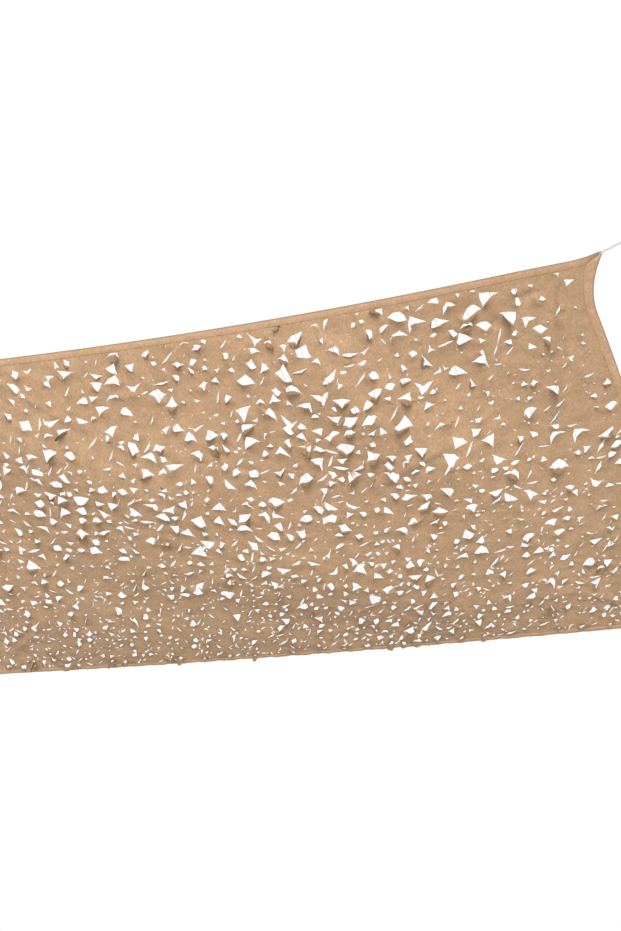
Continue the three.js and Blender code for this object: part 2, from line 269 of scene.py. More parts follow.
# Leaf-cut cloth
# One sheet of woven polyester hangs between the four corners. Staggered leaf-shaped cuts open
# unevenly as it is pulled, and the tongue that a cut frees droops from its far side.
SAIL_LENGTH = 4.0
SAIL_DEPTH = 2.5
CLOTH_THICK = 0.0012
EAR_X = 0.108
EAR_Y = 0.024
EAR_REACH_X = 0.270
EAR_REACH_Y = 0.280
FLARE_REACH = 0.085
SHORT_EDGE_BULGE = 0.055
LONG_EDGE_BOW = 0.046
EDGE_FADE = 3
LONG_EDGE_SAG = 0.055
SHORT_EDGE_SAG = 0.025
BELLY = 0.120
SKEW = 0.075
TIP_LEVEL = 0.10449
FOLD_FADE = 8
FAR_PUCKER = 0.0022
PUCKER_FADE = 6
PUCKER_WAVES = [(43, 0.7, 1.0), (101, 2.1, 0.7)]

# Soft folds: where each starts and ends on the flat cut, its width and its height
FOLDS = [
    (0.840, -1.000, 1.150, -0.280, 0.200, -0.030),
    (-0.800, -0.800, -0.210, -0.410, 0.210, -0.026),
    (0.290, -1.150, 0.140, -0.800, 0.190, 0.018),
    (1.380, -0.770, 1.700, -0.430, 0.190, 0.018),
    (1.880, -1.180, 1.480, -1.020, 0.150, 0.010),
    (1.870, -1.130, 1.640, -0.640, 0.150, -0.012),
    (1.880, 1.180, 1.400, 0.780, 0.180, -0.014),
    (-1.880, 1.180, -1.350, 0.700, 0.180, -0.014),
    (-1.880, -1.180, -1.300, -0.760, 0.180, -0.014),
    (-1.250, -0.350, -0.700, 0.500, 0.230, 0.022),
    (0.250, 0.250, 0.900, 0.800, 0.220, -0.018),
    (-0.300, 0.600, 0.300, 1.000, 0.200, 0.016),
]

# Main creases: where each starts and ends on the flat cut, how far it bows aside, its half width
# and its depth, which is negative where the cloth stands up in a ridge
CREASES = [
    (1.905, -1.185, 1.879, -1.011, 0.024, 0.009, 0.0080),
    (1.414, -1.137, 1.351, -1.069, 0.008, 0.014, 0.0054),
    (1.793, -1.121, 1.800, -1.060, 0.006, 0.010, 0.0051),
    (1.827, -1.026, 1.813, -0.944, -0.008, 0.012, -0.0044),
    (0.969, -1.003, 0.953, -0.930, 0.006, 0.010, 0.0044),
    (0.245, -1.205, 0.201, -1.141, 0.005, 0.009, 0.0054),
    (0.388, -1.205, 0.365, -1.175, 0.003, 0.008, 0.0037),
    (-0.113, -0.992, -0.085, -0.942, -0.006, 0.010, 0.0051),
    (1.840, -1.150, 1.560, -0.960, 0.030, 0.018, -0.0071),
    (1.860, -1.060, 1.700, -0.700, -0.028, 0.018, 0.0071),
    (1.300, -0.430, 0.900, -0.250, 0.030, 0.020, 0.0068),
    (-0.600, -1.150, -0.350, -0.800, 0.020, 0.016, 0.0054),
    (0.550, -1.150, 0.700, -0.850, -0.018, 0.016, -0.0054),
    (1.830, 1.100, 1.450, 0.800, 0.025, 0.020, 0.0068),
    (-1.830, 1.100, -1.420, 0.780, -0.020, 0.020, 0.0068),
    (-1.830, -1.100, -1.450, -0.820, 0.025, 0.018, 0.0068),
]
CREASE_STEP = 0.012
# How deep a crease must sink for its trough to get full painted shade
CREASE_DARK = 0.007
CREASE_UNEVEN = 0.3
CREASE_ACROSS = (-1.5, -0.7, 0.0, 0.7, 1.5)


def ear_pull(share, half, reach):
    return np.maximum(0, 1 - (1 - np.abs(share)) * half / reach) ** 2


def fold_height(s, t):
    height = np.zeros_like(s)
    for from_s, from_t, to_s, to_t, width, rise in FOLDS:
        run_s, run_t = to_s - from_s, to_t - from_t
        along = ((s - from_s) * run_s + (t - from_t) * run_t) / (run_s**2 + run_t**2)
        along = np.clip(along, 0, 1)
        away = np.hypot(s - from_s - along * run_s, t - from_t - along * run_t)
        height += rise * np.exp(-((away / width) ** 2))
    return height


def crease_depth(s, t):
    """How far the creases sink the cloth, unevenly along each and fading to its ends."""
    depth = np.zeros_like(s)
    for from_s, from_t, to_s, to_t, bow, half_wide, deep in CREASES:
        run_s, run_t = to_s - from_s, to_t - from_t
        length = math.hypot(run_s, run_t)
        along = np.clip(((s - from_s) * run_s + (t - from_t) * run_t) / length**2, 0, 1)
        middle = 4 * along * (1 - along)
        aside = ((t - from_t) * run_s - (s - from_s) * run_t) / length - bow * middle
        uneven = np.sqrt(middle) * (1 + CREASE_UNEVEN * np.sin(40 * length * along + 60 * from_s))
        depth += deep * uneven * np.exp(-((aside / half_wide) ** 2))
    return depth


def crease_points():
    """Places close along and across the creases, where the cloth bends most."""
    places = []
    for from_s, from_t, to_s, to_t, bow, half_wide, _ in CREASES:
        run_s, run_t = to_s - from_s, to_t - from_t
        length = math.hypot(run_s, run_t)
        along = np.linspace(0, 1, int(length / CREASE_STEP) + 2)[:, None]
        aside = bow * 4 * along * (1 - along) + half_wide * np.array(CREASE_ACROSS)
        s = from_s + run_s * along - run_t / length * aside
        t = from_t + run_t * along + run_s / length * aside
        places.append(np.stack([s.ravel(), t.ravel()], axis=1))
    return np.concatenate(places)


def hung(s, t, lift=0.0):
    """Where a point of the flat cut hangs, lifted straight up off the cloth."""
    s, t = np.broadcast_arrays(np.asarray(s, float), np.asarray(t, float))
    a, b = s / (SAIL_LENGTH / 2), t / (SAIL_DEPTH / 2)
    half_x, half_y = SAIL_LENGTH / 2 - EAR_X, SAIL_DEPTH / 2 - EAR_Y
    pull_t = ear_pull(b, half_y, EAR_REACH_Y)
    across_x, across_y = 1 - a * a, 1 - b * b
    bulge = SHORT_EDGE_BULGE * np.abs(a) ** EDGE_FADE * across_y
    bow = LONG_EDGE_BOW * np.abs(b) ** EDGE_FADE * across_x
    out_x = EAR_X * ear_pull(a, half_x, EAR_REACH_X) * pull_t + bulge
    out_y = EAR_Y * ear_pull(a, half_x, FLARE_REACH) * pull_t - bow
    y = b * half_y + np.sign(b) * out_y
    x = a * half_x + np.sign(a) * out_x + SKEW * y
    fade = ((1 - a**FOLD_FADE) * (1 - b**FOLD_FADE)) ** 2
    sag = LONG_EDGE_SAG * across_x + SHORT_EDGE_SAG * across_y + BELLY * across_x * across_y
    waves = sum(high * np.sin(often * s + start) for often, start, high in PUCKER_WAVES)
    pucker = FAR_PUCKER * np.clip(b, 0, 1) ** PUCKER_FADE * across_x * waves
    z = TIP_LEVEL + lift + fade * fold_height(s, t) + pucker - sag
    return np.stack([x, y, z], axis=-1)


# The cuts stand in staggered rows inside the binding, each drawn by its column and row
FIELD_INSET = 0.037
TUCK = 0.021
CUTS_LONG = 54
CUTS_DEEP = 33
CUT_DRIFT_S = 0.042
CUT_DRIFT_T = 0.036
CUT_AREA = 0.00042
CUT_AREA_SPREAD = 1.05
CUT_AREA_EVENED = 0.42
CUT_AREA_MOST = 0.0056
CUT_HALF_MOST = 0.046
CUT_STAND = 1.15
CUT_STAND_FAR = 0.45
CUT_SWAY = math.radians(30)
CUT_RAGGED = 0.26
CUT_SHUT = 0.15
CUT_CLEAR = 0.007
CUT_ROOM = 0.51
CUT_SPAN = 0.08
CUT_BELLY = (-0.22, 0.28)
ARCH_BELLY = 0.12
ARCH_BELLY_SHARE = 0.5
PEAK_ASIDE = 0.55
LEAN_DEG = (-34, 66)
LEAN_OVER_DEG = (-66, -30)
LEAN_OVER_SHARE = 0.55
LEAN_OVER_FALL = 0.30
LARGE_FROM = 0.4
LARGE_SPAN = 2
BELL_SCALE = 4.91
BELL_POWER = 0.14
PUSH_ROUNDS = 12
PUSH_SHARE = 0.5
SIDE_CUT_SHARE = 0.27
SIDE_CUT_NEAR = 0.35
SIDE_CUT_FAR = 0.7
SIDE_CUT_AREA = 0.38
PLAIN_CORNER = 0.110

# Where the cloth is slacker its cuts stand wider open: place, reach and gain
SLACK = [
    (-0.440, -1.020, 0.260, 0.42),
    (-0.140, -0.820, 0.190, 0.45),
    (-0.620, -0.560, 0.240, 0.28),
    (0.300, -1.080, 0.220, -0.30),
    (0.200, -0.800, 0.170, -0.50),
    (0.560, -0.850, 0.200, 0.20),
    (0.860, -0.540, 0.300, 0.58),
    (1.590, -1.130, 0.170, 0.32),
    (1.860, -1.130, 0.120, -0.60),
    (1.300, -0.880, 0.160, 0.15),
    (1.230, -0.600, 0.140, -0.40),
    (1.580, -0.620, 0.200, -0.48),
    (1.920, -0.850, 0.260, -0.60),
    (1.780, -0.200, 0.200, 0.30),
    (1.380, 0.100, 0.230, -0.42),
    (1.020, 0.200, 0.160, -0.32),
    (0.300, -0.050, 0.180, 0.36),
    (-0.300, -0.160, 0.320, 0.24),
    (-1.000, 0.300, 0.380, -0.20),
    (-1.250, 0.950, 0.400, -0.22),
    (-0.300, 1.050, 0.500, -0.28),
    (0.650, 0.550, 0.450, 0.08),
    (1.400, 0.950, 0.450, -0.22),
]
SLACK_NEAR = 1.02
SLACK_FALL = 0.12
SLACK_LEAST = 0.1

# Kinds of opening: least and most rise of the far and near side, as shares of half the length,
# and how often each is found among small and among large cuts
CUT_KINDS = [
    ("sliver", 0.10, 0.30, 0.02, 0.16, 0.34, 0.03),
    ("far_peak", 0.60, 1.20, -0.10, 0.30, 0.16, 0.15),
    ("near_peak", -0.20, 0.15, 0.75, 1.35, 0.16, 0.21),
    ("kite", 0.35, 0.80, 0.40, 0.95, 0.10, 0.22),
    ("arch", -0.82, -0.35, 0.95, 1.40, 0.18, 0.35),
    ("crescent", 0.80, 1.10, -0.48, -0.30, 0.06, 0.04),
]

# The sliver's place in that list, and how far the leaf behind each kind droops, as a share
SLIVER = 0
KIND_DROOP = (0.5, 0.5, 1.2, 0.8, 1.4, 0.4)

# The number of each fixed draw
DRAWS = {
    "size": 1, "drift_s": 4, "drift_t": 5, "shut": 6, "kind": 7, "far": 8, "near": 9, "far_peak": 10,
    "near_peak": 11, "far_belly": 12, "near_belly": 13, "lean": 14, "lean_kind": 15, "droop": 16,
    "tongue": 17, "tongue_long": 18, "tongue_hang": 19, "tongue_aside": 20, "edge_leaf": 21, "side_cut": 22,
}
MESH_DRAWS = (31, 32)
ASIDE_DRAW = 50
ROUGH_DRAW = 90
RIM_SHADE_DRAW = 60


def chance(i, j, draw):
    """A fixed draw from 0 to 1 for the cut at column i and row j."""
    wave = np.sin(i * 127.1 + j * 311.7 + draw * 74.7) * 43758.5453
    return wave - np.floor(wave)


def slack_gain(s, t):
    gain = SLACK_NEAR - SLACK_FALL * t / (SAIL_DEPTH / 2)
    for at_s, at_t, reach, more in SLACK:
        gain += more * np.exp(-((np.hypot(s - at_s, t - at_t) / reach) ** 2))
    return np.maximum(gain, SLACK_LEAST)


half_s = SAIL_LENGTH / 2 - FIELD_INSET
half_t = SAIL_DEPTH / 2 - FIELD_INSET
pitch_s = 2 * half_s / CUTS_LONG
pitch_t = 2 * half_t / CUTS_DEEP
cut_i = np.concatenate([np.arange(CUTS_LONG - j % 2) for j in range(CUTS_DEEP)])
cut_j = np.concatenate([np.full(CUTS_LONG - j % 2, j) for j in range(CUTS_DEEP)])


def drawn(name):
    return chance(cut_i, cut_j, DRAWS[name])


def between(name, least, most):
    return least + (most - least) * drawn(name)


# Some cuts have a smaller one beside them, half a column on
has_side_cut = drawn("side_cut") < SIDE_CUT_SHARE * (SIDE_CUT_NEAR + SIDE_CUT_FAR * cut_j / CUTS_DEEP)
is_side_cut = np.arange(len(cut_i) + has_side_cut.sum()) >= len(cut_i)
cut_i = np.concatenate([cut_i, cut_i[has_side_cut] + 0.5])
cut_j = np.concatenate([cut_j, cut_j[has_side_cut]])
cut_s = -half_s + (cut_i + 0.5 + 0.5 * (cut_j % 2)) * pitch_s + between("drift_s", -0.5, 0.5) * CUT_DRIFT_S
cut_t = -half_t + (cut_j + 0.5) * pitch_t + between("drift_t", -0.5, 0.5) * CUT_DRIFT_T
to_tip = np.hypot(SAIL_LENGTH / 2 - np.abs(cut_s), SAIL_DEPTH / 2 - np.abs(cut_t))
is_open = (drawn("shut") > CUT_SHUT) & (to_tip > PLAIN_CORNER)
cut_i, cut_j, cut_s, cut_t = (x[is_open] for x in (cut_i, cut_j, cut_s, cut_t))
is_side_cut = is_side_cut[is_open]

# Each cut's area, kind, length and the rise of its two sides
common = drawn("size")
bell = BELL_SCALE * (common**BELL_POWER - (1 - common) ** BELL_POWER)
spread = CUT_AREA_SPREAD - CUT_AREA_EVENED * np.clip(cut_t / half_t, 0, 1)
area = CUT_AREA * np.exp(spread * bell + (CUT_AREA_SPREAD**2 - spread**2) / 2)
area *= slack_gain(cut_s, cut_t) ** 2
area = np.minimum(area, CUT_AREA_MOST) * np.where(is_side_cut, SIDE_CUT_AREA, 1)
largeness = np.clip((area / CUT_AREA - LARGE_FROM) / LARGE_SPAN, 0, 1)[:, None]
kinds = np.array([row[1:] for row in CUT_KINDS])
odds = np.cumsum(kinds[:, 4] * (1 - largeness) + kinds[:, 5] * largeness, axis=1)
kind = np.minimum((drawn("kind")[:, None] * odds[:, -1:] > odds).sum(axis=1), len(kinds) - 1)
far_rise = between("far", kinds[kind, 0], kinds[kind, 1])
near_rise = between("near", kinds[kind, 2], kinds[kind, 3])
far_belly = between("far_belly", *CUT_BELLY)
near_belly = np.where(near_rise < 0, far_belly, between("near_belly", *CUT_BELLY))
near_belly = np.where(far_rise < 0, ARCH_BELLY + ARCH_BELLY_SHARE * near_belly, near_belly)
far_belly = np.where(far_rise < 0, near_belly, far_belly)
half_long = np.sqrt(area / (far_rise * (1 + far_belly) + near_rise * (1 + near_belly)))
half_long = np.minimum(half_long, CUT_HALF_MOST)
far_rise, near_rise = far_rise * half_long, near_rise * half_long
lean = np.radians(between("lean", *LEAN_DEG))
leans_over = (kind == SLIVER) & (drawn("lean_kind") < LEAN_OVER_SHARE - LEAN_OVER_FALL * cut_t / half_t)
lean = np.where(leans_over, np.radians(between("lean", *LEAN_OVER_DEG)), lean)

# Neighbours keep clear of each other
room = CUT_ROOM * (half_long + np.maximum(far_rise, near_rise))
for _ in range(PUSH_ROUNDS):
    off_s = cut_s[:, None] - cut_s
    off_t = cut_t[:, None] - cut_t
    apart = np.hypot(off_s, off_t) + np.eye(len(cut_s))
    push = np.maximum(0, room[:, None] + room + CUT_CLEAR - apart) / apart / 2
    np.fill_diagonal(push, 0)
    cut_s = cut_s + PUSH_SHARE * (push * off_s).sum(axis=1)
    cut_t = cut_t + PUSH_SHARE * (push * off_t).sum(axis=1)

# Each cut's outline runs from end to end along its near side, and back along its far side
NEAR_STEPS = (1 / 2, 1, 1 / 2)
FAR_STEPS = (1 / 3, 2 / 3, 1, 2 / 3, 1 / 3)
RIM = 2 + len(NEAR_STEPS) + len(FAR_STEPS)
near_peak = between("near_peak", -PEAK_ASIDE, PEAK_ASIDE) * half_long
far_peak = between("far_peak", -PEAK_ASIDE, PEAK_ASIDE) * half_long
far_peak = np.where(far_rise < 0, near_peak, far_peak)
near_peak = np.where(near_rise < 0, far_peak, near_peak)


def stretched(s, t, by):
    """Draws the cloth out along its sway, and in across it."""
    across = s * math.cos(CUT_SWAY) + t * math.sin(CUT_SWAY)
    along = t * math.cos(CUT_SWAY) - s * math.sin(CUT_SWAY)
    across, along = across / by, along * by
    return (
        across * math.cos(CUT_SWAY) - along * math.sin(CUT_SWAY),
        across * math.sin(CUT_SWAY) + along * math.cos(CUT_SWAY),
    )


def drawn_out(t):
    """How far the cloth is drawn out around a cut, more so towards the far edge."""
    return CUT_STAND + CUT_STAND_FAR * np.clip(t / half_t, 0, 1)


def laid_out(u, v):
    """Turns places measured along and across each cut to places on the flat cloth."""
    turn_s, turn_t = np.cos(lean)[:, None], np.sin(lean)[:, None]
    off_s, off_t = stretched(
        u * turn_s - v * turn_t, u * turn_t + v * turn_s, drawn_out(cut_t)[:, None]
    )
    s, t = cut_s[:, None] + off_s, cut_t[:, None] + off_t
    most_s, most_t = half_s - CUT_CLEAR, half_t - CUT_CLEAR
    return np.clip(s, -most_s, most_s), np.clip(t, -most_t, most_t)


def cut_side(steps, first_end, peak, rise, belly):
    """Points along one side of each cut, from one end over the peak to the other end."""
    points = []
    for n, step in enumerate(steps):
        end = first_end if n <= len(steps) // 2 else -first_end
        draw = n + 7 * len(steps)
        aside = CUT_RAGGED * half_long * (chance(cut_i, cut_j, ASIDE_DRAW + draw) - 0.5)
        rough = 1 + 2 * CUT_RAGGED * (chance(cut_i, cut_j, ROUGH_DRAW + draw) - 0.5)
        arched = step + 4 * step * (1 - step) * belly
        points.append((end + (peak - end) * step + aside, rise * arched * rough))
    return points


none = 0 * half_long
corners = [(-half_long, none)]
corners += cut_side(NEAR_STEPS, -half_long, near_peak, -near_rise, near_belly)
corners += [(half_long, none)]
corners += cut_side(FAR_STEPS, half_long, far_peak, far_rise, far_belly)
rim_s, rim_t = laid_out(*(np.stack(side, axis=1) for side in zip(*corners)))

# Behind each cut lies a leaf of cloth that droops towards its tip
LEAF_SPAN = 0.13
LEAF_TIP_FADE = 0.010
LEAF_DROOP = (0.004, 0.015)
LEAF_DROOP_LEAST = 0.35
LEAF_DROOP_MOST = 1.5
LEAF_HALF_WIDE = 0.004
LEAF_HALF_SHARE = 0.62
LEAF_LONG = 0.018
LEAF_LONG_SHARE = 1.15
DROOPED_FULLY = 0.010
HOLLOW_WIDER = 1.15
LEAF_SPINE = [(0, 0.18), (0, 0.42), (0, 0.72), (-0.62, 0.30), (0.62, 0.30)]
by_area = np.clip(np.sqrt(area / CUT_AREA), LEAF_DROOP_LEAST, LEAF_DROOP_MOST)
leaf_droop = between("droop", *LEAF_DROOP) * by_area
leaf_droop *= np.array(KIND_DROOP)[kind]
leaf_half = LEAF_HALF_SHARE * half_long + LEAF_HALF_WIDE
leaf_long = LEAF_LONG_SHARE * half_long + LEAF_LONG
spine_s, spine_t = laid_out(
    np.stack([far_peak + u * half_long for u, _ in LEAF_SPINE], axis=1),
    np.stack([far_rise + v * leaf_long for _, v in LEAF_SPINE], axis=1),
)


def leaf_sink(s, t, rims_first):
    """How far the leaves pull the cloth down, and how fully each place lies in a leaf's hollow.

    A cut's near side stays with the cloth around it.
    """
    sink, hollow = np.zeros(len(s)), np.zeros(len(s))
    for k in range(len(cut_s)):
        close = (np.abs(s - cut_s[k]) < LEAF_SPAN) & (np.abs(t - cut_t[k]) < LEAF_SPAN)
        close = np.flatnonzero(close)
        if rims_first:
            close = close[(close < k * RIM) | (close >= k * RIM + 2 + len(NEAR_STEPS))]
        off_s, off_t = stretched(s[close] - cut_s[k], t[close] - cut_t[k], 1 / drawn_out(cut_t[k]))
        u = off_s * np.cos(lean[k]) + off_t * np.sin(lean[k]) - far_peak[k]
        v = off_t * np.cos(lean[k]) - off_s * np.sin(lean[k]) - far_rise[k]
        to_root = np.clip(1 - v / leaf_long[k], 0, 1) ** 2
        along = np.where(v > 0, to_root, np.exp(-((v / LEAF_TIP_FADE) ** 2)))
        sink[close] += leaf_droop[k] * np.exp(-((u / leaf_half[k]) ** 2)) * along
        # How fully the place lies in the hollow sets how much painted shade it gets
        depth = min(leaf_droop[k] / DROOPED_FULLY, 1) * np.sqrt(along)
        depth *= np.exp(-((u / leaf_half[k] / HOLLOW_WIDER) ** 4))
        hollow[close] = np.maximum(hollow[close], depth)
    return sink, hollow


# Nicks: short slits between the cuts, more of them towards the far edge
NICKS = 1250
NICK_HALF_LONG = (0.004, 0.015)
NICK_HALF_WIDE = (0.0015, 0.0046)
NICK_LEAN_DEG = (-65, 70)
NICK_BEND = (-0.5, 0.5)
NICK_BOW = (-0.7, 0.7)
NICK_INSET = 0.02
NICK_CROWDED = 0.80
NICK_ROOM = 0.9
NICK_CLEAR = 0.008
NICK_GROWTH = 1.30
NICK_GROWTH_FAR = 0.75
NICK_DRAWS = {"s": 41, "t": 42, "long": 43, "wide": 44, "lean": 45, "bend": 46, "bow": 47}
nick = np.arange(NICKS)


def nick_between(name, least, most):
    return least + (most - least) * chance(nick, 0, NICK_DRAWS[name])


nick_s = nick_between("s", -1, 1) * (half_s - NICK_INSET)
nick_t = (2 * nick_between("t", 0, 1) ** NICK_CROWDED - 1) * (half_t - NICK_INSET)
to_cut = np.hypot(nick_s[:, None] - cut_s, nick_t[:, None] - cut_t) - NICK_ROOM * room
to_tip = np.hypot(SAIL_LENGTH / 2 - np.abs(nick_s), SAIL_DEPTH / 2 - np.abs(nick_t))
nick = nick[(to_cut.min(axis=1) > NICK_CLEAR) & (to_tip > PLAIN_CORNER)]
nick_s, nick_t = nick_s[nick], nick_t[nick]
far_growth = NICK_GROWTH + NICK_GROWTH_FAR * nick_t / half_t
nick_long = nick_between("long", *NICK_HALF_LONG) * far_growth
nick_wide = nick_between("wide", *NICK_HALF_WIDE) * far_growth
nick_lean = np.radians(nick_between("lean", *NICK_LEAN_DEG))
on_axis = np.zeros(len(nick))
nick_bend = nick_between("bend", *NICK_BEND) * nick_long
nick_bow = nick_between("bow", *NICK_BOW) * nick_long
nick_u = np.stack([-nick_long, nick_bend, nick_long, nick_bend], axis=1)
nick_v = np.stack([on_axis, nick_bow - nick_wide, on_axis, nick_bow + nick_wide], axis=1)
nick_cos, nick_sin = np.cos(nick_lean)[:, None], np.sin(nick_lean)[:, None]
off_s, off_t = stretched(
    nick_u * nick_cos - nick_v * nick_sin,
    nick_u * nick_sin + nick_v * nick_cos,
    drawn_out(nick_t)[:, None],
)
nick_s, nick_t = nick_s[:, None] + off_s, nick_t[:, None] + off_t

# The cloth between the cuts, on a loose grid of points, and its edge tucked into the binding
MESH_STEP = 0.034
MESH_LOOSE = 0.7
RIPPLE = 0.0020
CLOTH_RAISED = 0.007
RAISED_REACH = 0.30
CALM_EDGE = 0.05
SAME_PLACE = 1e-7
grid_s, grid_t = np.meshgrid(
    np.arange(-half_s + MESH_STEP, half_s - MESH_STEP / 2, MESH_STEP),
    np.arange(-half_t + MESH_STEP, half_t - MESH_STEP / 2, MESH_STEP),
)
row, column = np.indices(grid_s.shape)
loose_s, loose_t = (MESH_STEP * MESH_LOOSE * (chance(column, row, draw) - 0.5) for draw in MESH_DRAWS)
grid_s, grid_t = (grid_s + loose_s).ravel(), (grid_t + loose_t).ravel()
edge_s, edge_t = SAIL_LENGTH / 2 - TUCK, SAIL_DEPTH / 2 - TUCK
along_s = np.linspace(-edge_s, edge_s, int(2 * edge_s / MESH_STEP))
along_t = np.linspace(-edge_t, edge_t, int(2 * edge_t / MESH_STEP))[1:-1]
level_s, level_t = np.full(len(along_t), edge_s), np.full(len(along_s), edge_t)
border_s = np.concatenate([along_s, along_s, level_s, -level_s])
border_t = np.concatenate([-level_t, level_t, along_t, along_t])


def ripple(s, t):
    """How far the cloth stands off its even hanging shape, fading at the bindings."""
    wave = np.sin(29 * s + 11 * t + 1.3) * np.sin(7 * s - 31 * t + 0.4)
    wave = wave + 0.7 * np.sin(47 * s - 23 * t) * np.sin(17 * s + 53 * t)
    from_edge = np.minimum(half_s - np.abs(s), half_t - np.abs(t))
    raised = CLOTH_RAISED * np.clip(from_edge / RAISED_REACH, 0, 1)
    return raised + RIPPLE * wave * np.clip(from_edge / CALM_EDGE, 0, 1)


flat = np.concatenate([
    np.stack([rim_s.ravel(), rim_t.ravel()], axis=1),
    np.stack([nick_s.ravel(), nick_t.ravel()], axis=1),
    np.stack([spine_s[~is_side_cut].ravel(), spine_t[~is_side_cut].ravel()], axis=1),
    np.stack([grid_s, grid_t], axis=1),
    crease_points(),
    np.stack([border_s, border_t], axis=1),
])
rims = np.arange(rim_s.size).reshape(-1, RIM)
nick_rims = rim_s.size + np.arange(nick_s.size).reshape(nick_s.shape)
rim_edges = np.concatenate(
    [np.stack([rim, np.roll(rim, -1, axis=1)], axis=-1).reshape(-1, 2) for rim in (rims, nick_rims)]
)
laid, _, triangles, came_from, _, _ = delaunay_2d_cdt(
    flat.tolist(), rim_edges.tolist(), [], 0, SAME_PLACE, True
)
number = np.full(len(flat), -1)
for now, before in enumerate(came_from):
    number[before] = now
laid = np.array([tuple(p) for p in laid])
triangles = np.array(triangles)
sink, hollow = leaf_sink(laid[:, 0], laid[:, 1], rims_first=False)
kept = number >= 0
for laid_value, flat_value in zip((sink, hollow), leaf_sink(flat[:, 0], flat[:, 1], rims_first=True)):
    laid_value[number[kept]] = flat_value[kept]
from_edge = np.minimum(half_s - np.abs(laid[:, 0]), half_t - np.abs(laid[:, 1]))
sink *= np.clip(from_edge / CALM_EDGE, 0, 1)
creased = crease_depth(laid[:, 0], laid[:, 1])
# Crease troughs get painted shade too
hollow = np.maximum(hollow, np.clip(creased / CREASE_DARK, 0, 1))
lift = ripple(laid[:, 0], laid[:, 1]) - creased - sink


def cut_away():
    """How many cuts each triangle of the cloth lies in, and which cuts run into another."""
    middle = laid[triangles].mean(axis=1)
    times = np.zeros(len(triangles), int)
    touched = []
    for s, t in [*zip(rim_s, rim_t), *zip(nick_s, nick_t)]:
        close = (np.abs(middle[:, 0] - s[0]) < CUT_SPAN) & (np.abs(middle[:, 1] - t[0]) < CUT_SPAN)
        close = np.flatnonzero(close)
        at_s, at_t = middle[close, 0, None], middle[close, 1, None]
        next_s, next_t = np.roll(s, -1), np.roll(t, -1)
        crosses = (t > at_t) != (next_t > at_t)
        with np.errstate(divide="ignore", invalid="ignore"):
            right_of = at_s < s + (at_t - t) * (next_s - s) / (next_t - t)
        found = close[(crosses & right_of).sum(axis=1) % 2 == 1]
        times[found] += 1
        touched.append(found)
    return times, np.array([(times[found] > 1).any() for found in touched[: len(rim_s)]])


def in_one_piece(faces):
    """Which faces hang together with most of the cloth, leaving out loose scraps."""
    part = np.arange(faces.max() + 1)
    before = None
    while before is None or (part != before).any():
        before = part.copy()
        lowest = part[faces].min(axis=1)
        for k in range(faces.shape[1]):
            np.minimum.at(part, faces[:, k], lowest)
        part = part[part]
    return part[faces[:, 0]] == np.bincount(part[faces[:, 0]]).argmax()


times_cut, run_together = cut_away()
sheet = triangles[times_cut == 0]
sheet = sheet[in_one_piece(sheet)]
cloth_faces = sheet.tolist()

# Tongues: where a leaf has torn free it hangs from the far side of its cut
HINGE = slice(RIM - len(FAR_STEPS), RIM)
HINGE_MIDDLE = RIM - len(FAR_STEPS) // 2 - 1
TONGUE_SHARE = 0.32
TONGUE_LEAST_AREA = 0.00042
TONGUE_LONG = (0.4, 0.8)
TONGUE_HANG_DEG = (55, 85)
TONGUE_ASIDE = 0.3
TONGUE_ROWS = [(0.45, 1.05), (0.80, 0.86), (1.00, 0.50)]
# How far the tongues, the hollows and the far cut rims are painted towards dark shade
TONGUE_SHADE = 0.56
HOLLOW_SHADE = 0.25
HOLLOW_SHADE_FAR = 0.15
RIM_SHADE_FAR = 0.75
EDGE_LEAF_REACH = 0.100
EDGE_LEAF_SHARE = 0.85
EDGE_LEAF_LEAST = 0.014
EDGE_LEAF_LONG = 0.012
EDGE_LEAF_LONGER = 0.036
EDGE_LEAF_HANG_DEG = (75, 95)
EDGE_LEAF_BROAD = 1.8
BELOW_CAD = 0.012
LOWEST = cad_box[0][2] - BELOW_CAD
LOW_ROOM = 0.012

# Near the far edge most of the wider leaves hang free, broad and steep
edge_leaf = (half_t - rim_t[:, HINGE_MIDDLE] < EDGE_LEAF_REACH) & (drawn("edge_leaf") < EDGE_LEAF_SHARE)
edge_leaf &= (kind != SLIVER) & (half_long > EDGE_LEAF_LEAST)
has_tongue = (drawn("tongue") < TONGUE_SHARE) & (area > TONGUE_LEAST_AREA) | edge_leaf
has_tongue &= ~run_together & np.isin(number[rims[:, HINGE]], sheet).all(axis=1)
long = (np.abs(far_rise) + near_rise) * between("tongue_long", *TONGUE_LONG)
hang = between("tongue_hang", *TONGUE_HANG_DEG)
long = np.where(edge_leaf, EDGE_LEAF_LONG + EDGE_LEAF_LONGER * drawn("tongue_long") ** 2, long)
hang = np.radians(np.where(edge_leaf, between("tongue_hang", *EDGE_LEAF_HANG_DEG), hang))
aside = between("tongue_aside", -TONGUE_ASIDE, TONGUE_ASIDE)
broad = np.where(edge_leaf, EDGE_LEAF_BROAD, 1)[:, None]


def tongue_row(share, width):
    """Points across the tongue, a share of its length from the hinge."""
    s, t = rim_s[:, HINGE], rim_t[:, HINGE]
    out = (long * share * np.cos(hang))[:, None]
    down = (long * share * np.sin(hang))[:, None]
    away_s = np.sin(lean) + aside * np.cos(lean)
    away_t = -np.cos(lean) + aside * np.sin(lean)
    middle_s, middle_t = s.mean(axis=1, keepdims=True), t.mean(axis=1, keepdims=True)
    row_s = middle_s + (s - middle_s) * width * broad + away_s[:, None] * out
    row_t = middle_t + (t - middle_t) * width + away_t[:, None] * out
    return np.stack([row_s, row_t, lift[number[rims[:, HINGE]]] - down], axis=-1)[has_tongue]


